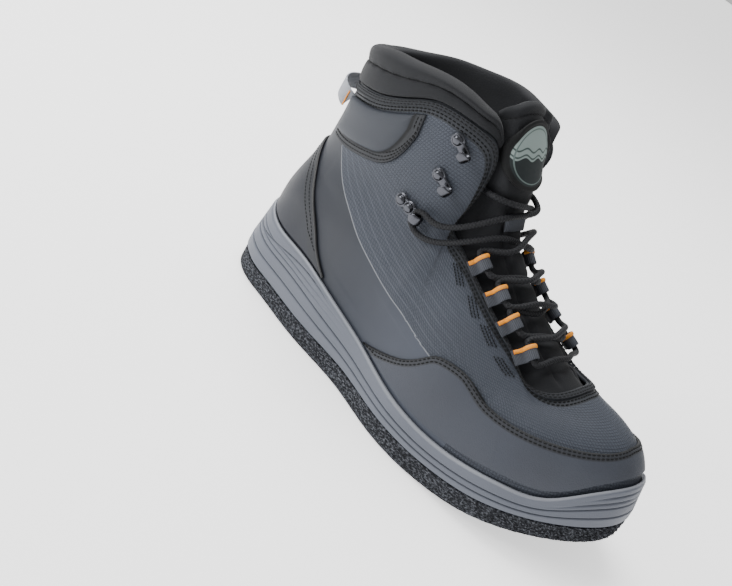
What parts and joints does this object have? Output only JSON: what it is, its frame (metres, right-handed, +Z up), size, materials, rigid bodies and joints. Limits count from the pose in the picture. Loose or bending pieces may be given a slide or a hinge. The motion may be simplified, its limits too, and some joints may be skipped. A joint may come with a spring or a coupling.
{
  "type": "wading boot",
  "caption": "Lace-up wading boot with a felt sole, foam midsole, hollow fabric upper, padded collar, tongue, lace loops and hooks.",
  "frame": {"origin": "middle of the boot's box in plan, on the plane that the sole stands on", "axes": "+Z up, +Y towards the toe, +X towards the outer side of this right boot"},
  "size_m": [0.128, 0.3236, 0.2136],
  "materials": {
    "felt": "coarse pressed felt, fuzzy",
    "midsole_foam": "moulded foam, satin",
    "coated_fabric": "coated ripstop, matte",
    "overlay_film": "synthetic, satin",
    "binding_tape": "woven tape, matte",
    "neoprene": "soft knit over foam",
    "badge_patch": "woven patch",
    "webbing": "woven tape",
    "hook_metal": "dark gloss",
    "lace_cord": "braided",
    "footbed": "brushed"
  },
  "bodies": {
    "root": {"felt_outsole": "felt", "midsole": "midsole_foam", "upper": "coated_fabric", "insole": "footbed", "toe_rand": "overlay_film", "heel_counter": "overlay_film", "ankle_pad_outer": "overlay_film", "ankle_pad_inner": "overlay_film", "edge_binding": "binding_tape", "cuff": "neoprene", "tongue": "neoprene", "tongue_badge": "badge_patch", "lace_keeper": "webbing", "lace_loop_outer_1": "webbing", "lace_loop_outer_2": "webbing", "lace_loop_outer_3": "webbing", "lace_loop_outer_4": "webbing", "lace_loop_inner_1": "webbing", "lace_loop_inner_2": "webbing", "lace_loop_inner_3": "webbing", "lace_loop_inner_4": "webbing", "hook_outer_1": "hook_metal", "hook_outer_2": "hook_metal", "hook_outer_3": "hook_metal", "hook_inner_1": "hook_metal", "hook_inner_2": "hook_metal", "hook_inner_3": "hook_metal", "laces": "lace_cord", "pull_loop": "webbing"}
  },
  "joints": []
}
